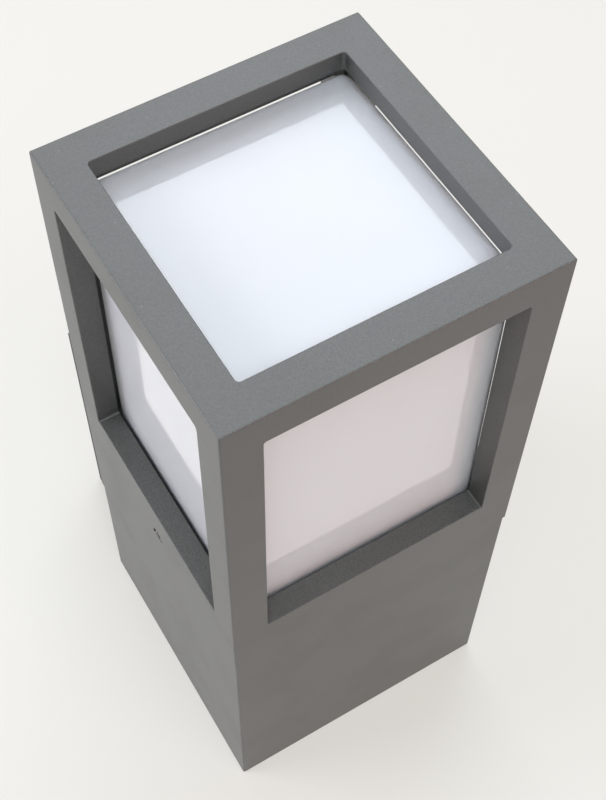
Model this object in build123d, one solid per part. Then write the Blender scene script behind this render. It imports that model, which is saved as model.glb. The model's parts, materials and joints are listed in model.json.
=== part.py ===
from build123d import *

import os
from math import radians, tan

# Square outdoor wall light: a die-cast lantern head with five glazed windows stands on a
# die-cast base, and the base's hollow arm closes over a bracket on the wall.
# Frame: +Z up, the wall is at +Y, the origin is the middle of the base's underside.

# Head casting
head_side = 100.0
head_height = 135.0
top_rail_width = 11.2
top_rail_depth = 6.4
post_width = 11.7
reveal_depth = 7.3
window_head_height = 11.4
lower_rail_height = 17.7
sill_thickness = 3.5
skirt_wall = 3.2
window_corner = 1.2
frame_edge_round = 0.5
frame_cavity_corner = 2.0
mould_draft = 0.3

# Base casting with its wall arm
base_height = 106.0
base_overhang = 0.4
base_wall = 3.0
base_floor = 3.0
base_edge_round = 0.6
base_foot_round = 1.0
arm_width = 80.0
arm_reach = 37.2
arm_drop = 0.5
arm_wall = 3.0
column_reach = 6.6
column_round = 4.5

# Diffuser and the parts that clamp it up into the head
diffuser_gap = 1.2
diffuser_top_gap = 3.6
diffuser_wall = 2.5
diffuser_corner = 3.5
diffuser_top_round = 1.6
flange_width = 2.3
flange_thickness = 2.5
flange_clearance = 0.3
diffuser_seal_thickness = 1.2
ring_thickness = 1.5
ring_width = 8.1
ring_screw_inset = 6.1
ring_clearance = 0.2

# Carrier tray: closes the base, carries the lampholder and centres the head
tray_depth = 6.0
tray_floor = 2.0
tray_rim = 2.0
tray_corner = 1.5
tray_side_clearance = 0.2
tray_screw_inset = 9.6
head_seal_thickness = 2.0
holder_hole_clearance = 1.0

# Screw sizes
small_screw_radius = 1.25
small_head_radius = 2.2
medium_screw_radius = 1.5
medium_head_radius = 2.5
large_screw_radius = 2.0
large_head_radius = 3.5
head_height_share = 0.7
fixing_depth = 8.0
fixing_end_gap = 1.0
screw_end_reach = 1.0
screw_clearance = 0.05
through_clearance = 0.25

# Set screws that lock the head, one on each side at the seam
set_screw_rise = 1.6
set_head_height = 1.8
set_head_clearance = 0.4
set_recess_depth = 2.1
set_slot_clearance = 0.2
set_pad_radius = 4.0
set_pad_length = 3.0
seat_gap = 0.05
thread_running_clearance = 0.03

# Screw-in lampholder, its hanger strap and its fixings
holder_radius = 21.0
holder_top_radius = 19.0
holder_height = 44.0
holder_rise = 8.0
holder_floor = 10.0
holder_foot_height = 14.0
holder_mouth_depth = 5.0
holder_mouth_radius = 17.0
shell_thickness = 0.5
shell_clearance = 0.2
shell_drop = 5.0
strap_thickness = 1.5
strap_width = 16.0
strap_foot_length = 12.0
strap_gap = 1.5
strap_screw_offset = 6.0
strap_bend = 1.0
holder_screw_offset = 9.0
holder_screw_bite = 6.0
tongue_width = 6.0
tongue_thickness = 0.6

# Tubular screw-in lamp
lamp_cap_radius = 13.2
lamp_cap_height = 27.5
lamp_seat_depth = 29.5
lamp_length = 115.0
lamp_tube_radius = 20.0
lamp_tube_wall = 1.5
lamp_tube_bevel = 6.0
lamp_neck_radius = 14.0
lamp_neck_height = 3.0
lamp_body_height = 24.0
lamp_collar_height = 4.0
lamp_collar_lip = 0.6
lamp_ribs = 24
lamp_rib_slope = 12.0
lamp_contact_radius = 4.5
lamp_contact_height = 1.5
lamp_insulator_radius = 9.0
lamp_insulator_height = 4.2
cap_running_clearance = 0.05

# Terminal block, earth point and inner leads
block_poles = 3
pole_pitch = 12.0
block_depth = 18.0
block_height = 13.0
block_rear_gap = 4.5
block_groove = 1.5
block_seat_height = 3.0
block_seat_radius = 3.0
terminal_screw_radius = 1.6
terminal_screw_height = 4.0
terminal_inset = 4.5
entry_half = 1.5
entry_depth = 3.0
entry_height = 5.0
lead_radius = 1.1
lead_sides = 6
lead_bend_share = 0.45
lead_exit_offset = 14.0
lead_exit_radius = 1.5
lead_sag = 12.0
lead_run_in = 4.0
earth_boss_radius = 5.0
earth_boss_height = 4.0
earth_point_y = -20.0
lug_radius = 4.0
lug_thickness = 0.8
lug_barrel_radius = 1.6
lug_barrel_length = 6.0
lug_bridge_length = 2.0
earth_head_radius = 3.0

# Cable grommet, wall bracket and wall gasket
service_height = 53.0
grommet_hole_radius = 9.0
grommet_flange_radius = 11.5
grommet_flange_thickness = 1.5
grommet_bore_radius = 4.0
gasket_thickness = 2.5
gasket_inset = 0.3
bracket_thickness = 2.0
bracket_height = 76.0
bracket_clearance = 0.4
bracket_corner = 4.0
bracket_hole_radius = 10.0
tab_height = 24.0
tab_length = 24.0
wall_slot_spacing = 50.0
wall_slot_width = 5.2
wall_slot_length = 14.0
arm_screw_setback = 16.0
arm_screw_length = 9.0

# Levels and half widths worked out from the sizes above
head_half = head_side / 2
top_z = base_height + head_height
sill_z = base_height + lower_rail_height
window_top_z = top_z - window_head_height
sill_under_z = sill_z - sill_thickness
rail_under_z = top_z - top_rail_depth
flange_top_z = sill_under_z - diffuser_seal_thickness
flange_under_z = flange_top_z - flange_thickness
ring_under_z = flange_under_z - ring_thickness
tray_top_z = ring_under_z - head_seal_thickness
tray_floor_z = base_height - tray_depth
tray_under_z = tray_floor_z - tray_floor
diffuser_top_z = rail_under_z - diffuser_top_gap
frame_inner_half = head_half - reveal_depth
diffuser_half = frame_inner_half - diffuser_gap
flange_half = diffuser_half + flange_width
skirt_half = head_half - skirt_wall
ring_half = skirt_half - ring_clearance
base_half = head_half - base_overhang
cavity_half = base_half - base_wall
tray_half = cavity_half - tray_side_clearance
tray_screw_at = base_half - tray_screw_inset
ring_screw_at = head_half - ring_screw_inset
arm_half = arm_width / 2
arm_inner_half = arm_half - arm_wall
arm_top_z = base_height - arm_drop
wall_y = head_half + arm_reach
arm_end_y = wall_y - gasket_thickness
set_screw_z = base_height + set_screw_rise
set_seat_x = head_half - set_recess_depth
set_recess_radius = medium_head_radius + set_head_clearance
holder_top_z = base_height + holder_rise
holder_under_z = holder_top_z - holder_height
holder_floor_z = holder_under_z + holder_floor
shell_inner = lamp_cap_radius + cap_running_clearance
shell_outer = shell_inner + shell_thickness
lamp_tip_z = holder_top_z - lamp_seat_depth
lamp_shoulder_z = lamp_tip_z + lamp_cap_height
lamp_seat_z = lamp_shoulder_z + lamp_body_height
lamp_top_z = lamp_tip_z + lamp_length
block_width = block_poles * pole_pitch
block_rear_y = cavity_half - block_rear_gap
block_front_y = block_rear_y - block_depth
block_under_z = base_floor + block_seat_height
block_top_z = block_under_z + block_height
entry_z = block_under_z + entry_height
lug_z = base_floor + earth_boss_height
lug_barrel_y = earth_point_y + lug_radius - lug_thickness + lug_bridge_length / 2

BOTTOM = (Align.CENTER, Align.CENTER, Align.MIN)


def prism(half, low, high, corner=0, draft=0):
    """Upright square prism about the Z axis. A draft makes it narrower towards its top."""
    side = 2 * half
    outline = RectangleRounded(side, side, corner) if corner else Rectangle(side, side)
    return extrude(Pos(0, 0, low) * outline, high - low, taper=draft)


def slab(low, high):
    """Box between two opposite corners."""
    size = [b - a for a, b in zip(low, high)]
    middle = [(a + b) / 2 for a, b in zip(low, high)]
    return Pos(*middle) * Box(*size)


def rod(radius, start, axis, length):
    """Cylinder that begins at a point and runs along an axis."""
    return extrude(Plane(start, z_dir=axis) * Circle(radius), length)


def turned(*points):
    """Solid of revolution about Z through (radius, height) points."""
    outline = Polyline([(r, 0, z) for r, z in points], close=True)
    return revolve(make_face(outline), Axis.Z)


def four_corners(distance):
    """Places at the corners of a square about the Z axis."""
    return [Pos(x, y) for x in (-distance, distance) for y in (-distance, distance)]


def pan_screw(radius, head_radius, length):
    """Screw along -Z with the underside of its round head at Z = 0."""
    head = Cylinder(head_radius, head_radius * head_height_share, align=BOTTOM)
    return head + rod(radius, (0, 0, 0), (0, 0, -1), length)


def countersunk_screw(radius, head_radius, head_depth, length):
    """Countersunk screw along -Z with the top of its head at Z = 0."""
    return turned((0, 0), (head_radius, 0), (radius, -head_depth), (radius, -length), (0, -length))


# Head


def frame_openings():
    """The top window and the two crossing pairs of side windows."""
    top_half = head_half - top_rail_width
    window_width = head_side - 2 * post_width
    window_height = window_top_z - sill_z
    outline = RectangleRounded(window_width, window_height, window_corner)
    middle = (0, 0, (window_top_z + sill_z) / 2)
    through_y = extrude(Plane(middle, x_dir=(1, 0, 0), z_dir=(0, -1, 0)) * outline, head_half, both=True)
    through_x = extrude(Plane(middle, x_dir=(0, 1, 0), z_dir=(1, 0, 0)) * outline, head_half, both=True)
    return prism(top_half, rail_under_z, top_z, window_corner) + through_x + through_y


def set_screw_slots():
    """Stepped slots in the head's rim that drop over the two set screws."""
    slots = Part()
    steps = (
        (medium_screw_radius + set_slot_clearance, skirt_half, set_seat_x),
        (set_recess_radius, set_seat_x, head_half),
    )
    for radius, inner, outer in steps:
        round_end = rod(radius, (inner, 0, set_screw_z), (1, 0, 0), outer - inner)
        mouth = slab((inner, -radius, base_height), (outer, radius, set_screw_z))
        slots += round_end + mouth
    return slots + mirror(slots, Plane.YZ)


def lantern_frame():
    """One casting: four angle posts, four top rails and the deep lower rail."""
    frame = prism(head_half, base_height, top_z)
    outer_edges = frame.edges().filter_by(Axis.Z) + frame.faces().sort_by(Axis.Z)[-1].edges()
    frame = fillet(outer_edges, frame_edge_round) - frame_openings()
    frame -= prism(frame_inner_half, sill_under_z, rail_under_z, frame_cavity_corner, mould_draft)
    pocket_half = flange_half + flange_clearance
    pocket_corner = diffuser_corner + flange_width + flange_clearance
    frame -= prism(pocket_half, flange_under_z, sill_under_z, pocket_corner)
    frame -= prism(skirt_half, base_height, flange_under_z)
    frame -= set_screw_slots()
    for place in four_corners(ring_screw_at):
        hole = rod(small_screw_radius + screw_clearance, (0, 0, flange_under_z), (0, 0, 1), fixing_depth)
        frame -= place * hole
    return frame


def diffuser():
    """Five-sided opal box, moulded with draft, with an out-turned flange at its open end."""
    outside = prism(diffuser_half, flange_under_z, diffuser_top_z, diffuser_corner, mould_draft)
    outside = fillet(outside.faces().sort_by(Axis.Z)[-1].edges(), diffuser_top_round)
    flange_corner = diffuser_corner + flange_width
    flange = prism(flange_half, flange_under_z, flange_top_z, flange_corner)
    inner_half = diffuser_half - diffuser_wall
    inner_corner = diffuser_corner - diffuser_wall
    inner_top_z = diffuser_top_z - diffuser_wall
    inside = prism(inner_half, flange_under_z, inner_top_z, inner_corner, mould_draft)
    return outside + flange - inside


def diffuser_seal():
    """Flat silicone frame between the diffuser's flange and the sill."""
    corner = diffuser_corner + flange_width
    seal = prism(flange_half, flange_top_z, sill_under_z, corner)
    return seal - prism(diffuser_half + screw_clearance, flange_top_z, sill_under_z, diffuser_corner)


def retaining_ring():
    """Stamped steel frame that clamps the diffuser's flange up into the head."""
    ring = prism(ring_half, ring_under_z, flange_under_z, tray_corner)
    ring -= prism(ring_half - ring_width, ring_under_z, flange_under_z, tray_corner)
    cut_radius = small_head_radius + screw_clearance
    shank_radius = small_screw_radius + screw_clearance
    sink = turned((0, 0), (cut_radius, 0), (shank_radius, ring_thickness), (0, ring_thickness))
    for place in four_corners(ring_screw_at):
        ring -= place * Pos(0, 0, ring_under_z) * sink
    return ring


def ring_screws():
    """Four countersunk screws, driven upwards through the ring into the posts."""
    screw = countersunk_screw(small_screw_radius, small_head_radius, ring_thickness, fixing_depth)
    upright = Pos(0, 0, ring_under_z) * Rot(180, 0, 0) * screw
    return Part() + [place * upright for place in four_corners(ring_screw_at)]


# Base


def base_body():
    """Base tub and wall arm in one casting, with corner columns for the tray's screws."""
    tub = prism(base_half, 0, base_height)
    tub = fillet(tub.edges().filter_by(Axis.Z), base_edge_round)
    tub = fillet(tub.faces().sort_by(Axis.Z)[0].edges(), base_foot_round)
    arm = slab((-arm_half, base_half - base_wall, 0), (arm_half, arm_end_y, arm_top_z))
    long_edges = arm.edges().filter_by(Axis.Y)
    arm = fillet(long_edges, base_foot_round)
    body = tub + arm
    body -= prism(cavity_half, base_floor, base_height)
    body -= slab(
        (-arm_inner_half, base_half, base_floor),
        (arm_inner_half, arm_end_y, arm_top_z - arm_wall),
    )
    body += base_columns() + floor_bosses()
    body -= rod(grommet_hole_radius, (0, cavity_half, service_height), (0, 1, 0), base_wall)
    for side in (-1, 1):
        arm_hole = rod(
            large_screw_radius + through_clearance,
            (side * arm_inner_half, wall_y - arm_screw_setback, service_height),
            (side, 0, 0),
            arm_wall,
        )
        recess = rod(
            set_recess_radius,
            (side * set_seat_x, 0, set_screw_z),
            (side, 0, 0),
            set_recess_depth,
        )
        body -= arm_hole + recess
    for place in four_corners(tray_screw_at):
        hole = rod(large_screw_radius + screw_clearance, (0, 0, tray_under_z), (0, 0, -1), fixing_depth)
        body -= place * hole
    return body


def base_columns():
    """Corner columns up to the tray, drawn as rounded squares about the cavity's corners."""
    half = cavity_half - tray_screw_at + column_reach
    column = extrude(Pos(0, 0, base_floor) * RectangleRounded(2 * half, 2 * half, column_round),
                     tray_under_z - base_floor)
    columns = Part() + [place * column for place in four_corners(cavity_half)]
    return columns & prism(base_half - base_wall / 2, base_floor, tray_under_z)


def block_screw_places():
    """Places of the terminal block's two fixing screws, between its poles."""
    middle_y = (block_front_y + block_rear_y) / 2
    return [Pos(x, middle_y) for x in (-pole_pitch / 2, pole_pitch / 2)]


def floor_bosses():
    """Raised seats on the base's floor for the terminal block and the earth screw."""
    seat = Cylinder(block_seat_radius, block_seat_height, align=BOTTOM)
    hole = Cylinder(medium_screw_radius + screw_clearance, block_seat_height, align=BOTTOM)
    seats = Part() + [place * Pos(0, 0, base_floor) * (seat - hole) for place in block_screw_places()]
    earth = Cylinder(earth_boss_radius, earth_boss_height, align=BOTTOM)
    earth -= Cylinder(large_screw_radius + screw_clearance, earth_boss_height, align=BOTTOM)
    return seats + Pos(0, earth_point_y, base_floor) * earth


def carrier_tray():
    """Deep tray that closes the base; its rim stands above the seam inside the head."""
    tray = prism(tray_half, tray_under_z, tray_top_z, tray_corner)
    tray -= prism(tray_half - tray_rim, tray_floor_z, tray_top_z, tray_corner)
    hole_radius = holder_radius + holder_hole_clearance
    tray -= rod(hole_radius, (0, 0, tray_under_z), (0, 0, 1), tray_floor)
    for side in (-1, 1):
        inner_x = tray_half - tray_rim - set_pad_length
        pad = rod(set_pad_radius, (side * inner_x, 0, set_screw_z), (side, 0, 0), set_pad_length)
        tray += pad
        thread = rod(
            medium_screw_radius + thread_running_clearance,
            (side * inner_x, 0, set_screw_z),
            (side, 0, 0),
            set_pad_length + tray_rim,
        )
        tray -= thread
        strap_hole = rod(
            medium_screw_radius + screw_clearance,
            (side * strap_screw_x(), 0, tray_under_z),
            (0, 0, 1),
            tray_floor,
        )
        tray -= strap_hole
    clearance_hole = rod(large_screw_radius + through_clearance, (0, 0, tray_under_z), (0, 0, 1), tray_floor)
    for place in four_corners(tray_screw_at):
        tray -= place * clearance_hole
    return tray


def head_seal():
    """Silicone frame on the tray's rim, which the head's ring presses on."""
    seal = prism(tray_half, tray_top_z, ring_under_z, tray_corner)
    return seal - prism(tray_half - tray_rim, tray_top_z, ring_under_z, tray_corner)


def tray_screws():
    """Four pan-head screws that hold the tray on the columns."""
    screw = pan_screw(large_screw_radius, large_head_radius, tray_floor + fixing_depth - fixing_end_gap)
    return Part() + [place * Pos(0, 0, tray_floor_z) * screw for place in four_corners(tray_screw_at)]


def set_screw(side):
    """Set screw through the head's slot into the tray's pad, on the side of the given sign."""
    length = set_seat_x + seat_gap - (tray_half - tray_rim - set_pad_length)
    head = Cylinder(medium_head_radius, set_head_height - seat_gap, align=BOTTOM)
    screw = head + rod(medium_screw_radius, (0, 0, 0), (0, 0, -1), length)
    start = Plane((side * (set_seat_x + seat_gap), 0, set_screw_z), x_dir=(0, 1, 0), z_dir=(side, 0, 0))
    return start * screw


# Lampholder and lamp


def strap_inner_half():
    """Half the clear width between the hanger strap's legs."""
    return holder_radius + strap_gap


def strap_screw_x():
    """Distance of the strap's screws from the Z axis."""
    return strap_inner_half() + strap_thickness + strap_screw_offset


def holder_strap():
    """Hat-shaped steel strap that hangs the lampholder below the tray."""
    inner = strap_inner_half()
    outer = inner + strap_thickness
    foot_end = outer + strap_foot_length
    foot_under_z = tray_under_z - strap_thickness
    web_under_z = holder_under_z - strap_thickness
    half_outline = [
        (0, web_under_z),
        (outer, web_under_z),
        (outer, foot_under_z),
        (foot_end, foot_under_z),
        (foot_end, tray_under_z),
        (inner, tray_under_z),
        (inner, holder_under_z),
        (0, holder_under_z),
    ]
    profile = make_face(Polyline([(x, 0, z) for x, z in half_outline], close=True))
    half_strap = extrude(profile, strap_width / 2, both=True)
    bends = [
        e
        for e in half_strap.edges().filter_by(Axis.Y)
        if e.center().X > inner - strap_bend and e.center().X < foot_end - strap_bend
    ]
    half_strap = fillet(bends, strap_bend)
    strap = half_strap + mirror(half_strap, Plane.YZ)
    for side in (-1, 1):
        foot_hole = rod(
            medium_screw_radius + screw_clearance,
            (side * strap_screw_x(), 0, foot_under_z),
            (0, 0, 1),
            strap_thickness,
        )
        web_hole = rod(
            medium_screw_radius + screw_clearance,
            (side * holder_screw_offset, 0, web_under_z),
            (0, 0, 1),
            strap_thickness,
        )
        strap -= foot_hole + web_hole
    return strap


def strap_screws():
    """Two screws down through the tray into the strap's feet."""
    length = tray_floor + strap_thickness + screw_end_reach
    screw = Pos(0, 0, tray_floor_z) * pan_screw(medium_screw_radius, medium_head_radius, length)
    return Part() + [Pos(side * strap_screw_x(), 0, 0) * screw for side in (-1, 1)]


def holder_body():
    """Porcelain lampholder: a heavy foot, a turned barrel and a wide mouth."""
    bore = shell_outer + shell_clearance
    shoulder_z = holder_under_z + holder_foot_height
    body = turned(
        (0, holder_under_z),
        (holder_radius, holder_under_z),
        (holder_radius, shoulder_z),
        (holder_top_radius, shoulder_z),
        (holder_top_radius, holder_top_z),
        (holder_mouth_radius, holder_top_z),
        (holder_mouth_radius, holder_top_z - holder_mouth_depth),
        (bore, holder_top_z - holder_mouth_depth),
        (bore, holder_floor_z),
        (0, holder_floor_z),
    )
    hole_radius = medium_screw_radius + screw_clearance
    for side in (-1, 1):
        start = (side * holder_screw_offset, 0, holder_under_z)
        body -= rod(hole_radius, start, (0, 0, 1), holder_screw_bite)
        body -= rod(
            lead_exit_radius,
            (side * holder_screw_offset, lead_exit_offset, holder_under_z),
            (0, 0, 1),
            entry_depth,
        )
    return body


def holder_shell():
    """Brass sleeve that takes the lamp's cap."""
    high = holder_top_z - shell_drop - shell_clearance
    return turned(
        (shell_inner, holder_floor_z),
        (shell_outer, holder_floor_z),
        (shell_outer, high),
        (shell_inner, high),
    )


def holder_contact():
    """Folded centre contact that stands up from the holder's floor to the lamp's tip."""
    high = lamp_tip_z - seat_gap
    reach = high - holder_floor_z
    half = tongue_width / 2
    outline = [
        (-half, 0),
        (half, 0),
        (half, tongue_thickness),
        (tongue_thickness - half, tongue_thickness),
        (tongue_thickness - half, reach - tongue_thickness),
        (half, reach - tongue_thickness),
        (half, reach),
        (-half, reach),
    ]
    profile = make_face(Polyline([(x, 0, holder_floor_z + z) for x, z in outline], close=True))
    return extrude(profile, tongue_width / 2, both=True)


def holder_screws():
    """Two screws up through the strap's web into the holder's foot."""
    length = strap_thickness + holder_screw_bite - fixing_end_gap
    screw = pan_screw(medium_screw_radius, medium_head_radius, length)
    upright = Pos(0, 0, holder_under_z - strap_thickness) * Rot(180, 0, 0) * screw
    return Part() + [Pos(side * holder_screw_offset, 0, 0) * upright for side in (-1, 1)]


def insulator_top_z():
    """Height at which the cap's black insulator meets the metal."""
    return lamp_tip_z + lamp_contact_height + lamp_insulator_height


def lamp_cap():
    """Screw cap of the lamp, filled, with a coned lower end."""
    low = insulator_top_z()
    return turned(
        (0, low),
        (lamp_insulator_radius, low),
        (lamp_cap_radius, low + lamp_cap_radius - lamp_insulator_radius),
        (lamp_cap_radius, lamp_shoulder_z),
        (0, lamp_shoulder_z),
    )


def lamp_contact():
    """Insulator and centre contact at the cap's lower end."""
    contact = rod(lamp_contact_radius, (0, 0, lamp_tip_z), (0, 0, 1), lamp_contact_height)
    insulator_z = lamp_tip_z + lamp_contact_height
    return contact + rod(lamp_insulator_radius, (0, 0, insulator_z), (0, 0, 1), lamp_insulator_height)


def lamp_body():
    """Plastic body: a neck, a fluted part that widens upwards and a collar round the tube's foot."""
    neck = rod(lamp_neck_radius, (0, 0, lamp_shoulder_z), (0, 0, 1), lamp_neck_height)
    collar_z = lamp_seat_z - lamp_collar_height
    collar = rod(lamp_tube_radius, (0, 0, collar_z), (0, 0, 1), lamp_collar_height)
    flutes = extrude(
        Pos(0, 0, collar_z) * RegularPolygon(lamp_tube_radius - lamp_collar_lip, lamp_ribs),
        lamp_shoulder_z + lamp_neck_height - collar_z,
        taper=lamp_rib_slope,
    )
    return neck + flutes + collar


def lamp_tube():
    """Opal tube with a bevelled, closed end."""
    inner = lamp_tube_radius - lamp_tube_wall
    return turned(
        (inner, lamp_seat_z),
        (lamp_tube_radius, lamp_seat_z),
        (lamp_tube_radius, lamp_top_z - lamp_tube_bevel),
        (lamp_tube_radius - lamp_tube_bevel, lamp_top_z),
        (0, lamp_top_z),
        (0, lamp_top_z - lamp_tube_bevel),
        (inner, lamp_top_z - lamp_tube_bevel),
    )


# Wiring inside the base


def terminal_block():
    """Nylon block with grooves between its poles, screw wells and lead entries."""
    block = slab(
        (-block_width / 2, block_front_y, block_under_z),
        (block_width / 2, block_rear_y, block_top_z),
    )
    for place in block_screw_places():
        groove = slab(
            (-block_groove / 2, block_front_y, block_top_z - block_height / 2),
            (block_groove / 2, block_rear_y, block_top_z),
        )
        block -= Pos(place.position.X, 0, 0) * groove
        fixing_hole = rod(medium_screw_radius + screw_clearance, (0, 0, block_under_z), (0, 0, 1), block_height)
        block -= place * fixing_hole
        well = rod(medium_head_radius + screw_clearance, (0, 0, block_top_z - block_height / 2), (0, 0, 1),
                   block_height / 2)
        block -= place * well
    for x, y in terminal_places():
        start = (x, y, block_top_z)
        block -= rod(terminal_screw_radius + screw_clearance, start, (0, 0, -1), terminal_screw_height)
    for x in pole_places():
        for low_y in (block_front_y, block_rear_y - entry_depth):
            block -= slab(
                (x - entry_half, low_y, entry_z - entry_half),
                (x + entry_half, low_y + entry_depth, entry_z + entry_half),
            )
    return block


def pole_places():
    """X places of the block's poles."""
    return [(i - (block_poles - 1) / 2) * pole_pitch for i in range(block_poles)]


def terminal_places():
    """X, Y places of the clamping screws, two on each pole."""
    rows = (block_front_y + terminal_inset, block_rear_y - terminal_inset)
    return [(x, y) for x in pole_places() for y in rows]


def terminal_screws():
    """Cheese-head clamping screws sunk in the block."""
    depth = terminal_screw_height
    return Part() + [
        rod(terminal_screw_radius, (x, y, block_top_z - depth), (0, 0, 1), depth - screw_clearance)
        for x, y in terminal_places()
    ]


def block_screws():
    """Two screws that hold the block down on its seats."""
    head_z = block_top_z - block_height / 2
    length = head_z - base_floor - screw_clearance
    screw = Pos(0, 0, head_z) * pan_screw(medium_screw_radius, medium_head_radius, length)
    return Part() + [place * screw for place in block_screw_places()]


def earth_lug():
    """Ring terminal with a crimped barrel towards the terminal block."""
    ring = rod(lug_radius, (0, earth_point_y, lug_z), (0, 0, 1), lug_thickness)
    ring -= rod(large_screw_radius + through_clearance, (0, earth_point_y, lug_z), (0, 0, 1), lug_thickness)
    bridge = slab(
        (-lug_barrel_radius, lug_barrel_y - lug_bridge_length / 2, lug_z),
        (lug_barrel_radius, lug_barrel_y + lug_bridge_length / 2, lug_z + lug_thickness),
    )
    barrel_start = (0, lug_barrel_y, lug_z + lug_barrel_radius)
    barrel = rod(lug_barrel_radius, barrel_start, (0, 1, 0), lug_barrel_length)
    head_room = rod(
        earth_head_radius + through_clearance,
        (0, earth_point_y, lug_z + lug_thickness),
        (0, 0, 1),
        earth_head_radius,
    )
    return ring + bridge + barrel - head_room


def earth_screw():
    """Pan-head screw that holds the earth lug on its boss."""
    length = lug_thickness + earth_boss_height - screw_clearance
    screw = pan_screw(large_screw_radius, earth_head_radius, length)
    return Pos(0, earth_point_y, lug_z + lug_thickness) * screw


def lead(*points):
    """Lead along straight runs joined by arcs as large as their runs allow."""
    path_points = [Vector(*p) for p in points]
    radii = []
    for a, b, c in zip(path_points, path_points[1:], path_points[2:]):
        turn = (b - a).get_angle(c - b)
        shorter = min((b - a).length, (c - b).length)
        radii.append(lead_bend_share * shorter / tan(radians(turn / 2)))
    path = FilletPolyline(*path_points, radius=radii)
    start = Plane(path @ 0, z_dir=path % 0)
    print("lead radii", [round(r, 1) for r in radii])
    return sweep(start * RegularPolygon(lead_radius, lead_sides), path=path)


def holder_lead(side):
    """Lead from the holder's foot down to the outer pole on the side of the given sign."""
    x_holder = side * holder_screw_offset
    x_pole = side * pole_places()[-1]
    low_z = entry_z + lead_sag
    high_z = holder_under_z + entry_depth
    end_y = block_front_y + entry_depth
    return lead(
        (x_holder, lead_exit_offset, high_z),
        (x_holder, lead_exit_offset, holder_under_z - lead_sag),
        (x_pole, lead_exit_offset - lead_sag, (high_z + low_z) / 2),
        (x_pole, lead_exit_offset - lead_sag, low_z),
        (x_pole, lead_exit_offset - lead_run_in, entry_z),
        (x_pole, end_y, entry_z),
    )


def earth_lead():
    """Lead from the lug's barrel to the middle pole in one low arch."""
    start_y = lug_barrel_y + lug_barrel_length
    start_z = lug_z + lug_barrel_radius
    end_y = block_front_y + entry_depth
    span = end_y - start_y
    return lead(
        (0, start_y, start_z),
        (0, start_y + span / 4, start_z),
        (0, start_y + span * 2 / 4, start_z + lead_sag / 2),
        (0, start_y + span * 3 / 4, entry_z),
        (0, end_y, entry_z),
    )


# Wall side


def cable_grommet():
    """Rubber grommet in the base's rear wall."""
    inner_y = cavity_half - grommet_flange_thickness
    outer_y = base_half + grommet_flange_thickness
    waist = grommet_hole_radius - screw_clearance
    grommet = rod(grommet_flange_radius, (0, inner_y, service_height), (0, 1, 0), grommet_flange_thickness)
    grommet += rod(waist, (0, inner_y, service_height), (0, 1, 0), outer_y - inner_y)
    outer_face = (0, base_half, service_height)
    grommet += rod(grommet_flange_radius, outer_face, (0, 1, 0), grommet_flange_thickness)
    return grommet - rod(grommet_bore_radius, (0, inner_y, service_height), (0, 1, 0), outer_y - inner_y)


def wall_gasket():
    """Foam frame between the arm's rim and the wall."""
    outer = slab(
        (gasket_inset - arm_half, arm_end_y, gasket_inset),
        (arm_half - gasket_inset, wall_y, arm_top_z - gasket_inset),
    )
    inner = slab(
        (-arm_inner_half, arm_end_y, base_floor),
        (arm_inner_half, wall_y, arm_top_z - arm_wall),
    )
    return outer - inner


def wall_bracket():
    """Pressed steel bracket: flat against the wall, with two ears inside the arm."""
    half = arm_inner_half - bracket_clearance
    front_y = wall_y - bracket_thickness
    outline = RectangleRounded(2 * half, bracket_height, bracket_corner)
    wall_plane = Plane((0, front_y, service_height), x_dir=(-1, 0, 0), z_dir=(0, 1, 0))
    outline -= Circle(bracket_hole_radius)
    slot = SlotOverall(wall_slot_length, wall_slot_width)
    for x in (-wall_slot_spacing / 2, wall_slot_spacing / 2):
        outline -= Pos(x, 0) * slot
    bracket = extrude(wall_plane * outline, bracket_thickness)
    low_z = service_height - tab_height / 2
    for side in (-1, 1):
        ear = slab(
            (half - bracket_thickness, front_y - tab_length, low_z),
            (half, front_y, low_z + tab_height),
        )
        ear = ear if side > 0 else mirror(ear, Plane.YZ)
        hole = rod(
            large_screw_radius + screw_clearance,
            (side * (half - bracket_thickness), wall_y - arm_screw_setback, service_height),
            (side, 0, 0),
            bracket_thickness,
        )
        bracket += ear
        bracket -= hole
    return bracket


def arm_screws():
    """Two screws through the arm's sides into the bracket's ears."""
    screw = pan_screw(large_screw_radius, large_head_radius, arm_screw_length)
    y = wall_y - arm_screw_setback
    return Part() + [
        Plane((side * arm_half, y, service_height), x_dir=(0, 1, 0), z_dir=(side, 0, 0)) * screw
        for side in (-1, 1)
    ]


parts = {
    "lantern_frame": lantern_frame(),
    "diffuser": diffuser(),
    "diffuser_seal": diffuser_seal(),
    "retaining_ring": retaining_ring(),
    "ring_screws": ring_screws(),
    "base_body": base_body(),
    "carrier_tray": carrier_tray(),
    "tray_screws": tray_screws(),
    "head_seal": head_seal(),
    "set_screw_left": set_screw(-1),
    "set_screw_right": set_screw(1),
    "holder_strap": holder_strap(),
    "strap_screws": strap_screws(),
    "holder_body": holder_body(),
    "holder_shell": holder_shell(),
    "holder_contact": holder_contact(),
    "holder_screws": holder_screws(),
    "lamp_cap": lamp_cap(),
    "lamp_contact": lamp_contact(),
    "lamp_body": lamp_body(),
    "lamp_tube": lamp_tube(),
    "terminal_block": terminal_block(),
    "terminal_screws": terminal_screws(),
    "block_screws": block_screws(),
    "neutral_lead": holder_lead(-1),
    "live_lead": holder_lead(1),
    "earth_lead": earth_lead(),
    "earth_lug": earth_lug(),
    "earth_screw": earth_screw(),
    "cable_grommet": cable_grommet(),
    "wall_bracket": wall_bracket(),
    "arm_screws": arm_screws(),
    "wall_gasket": wall_gasket(),
}

os.makedirs("parts", exist_ok=True)
for name, shape in parts.items():
    export_step(shape, f"parts/{name}.step")
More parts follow.
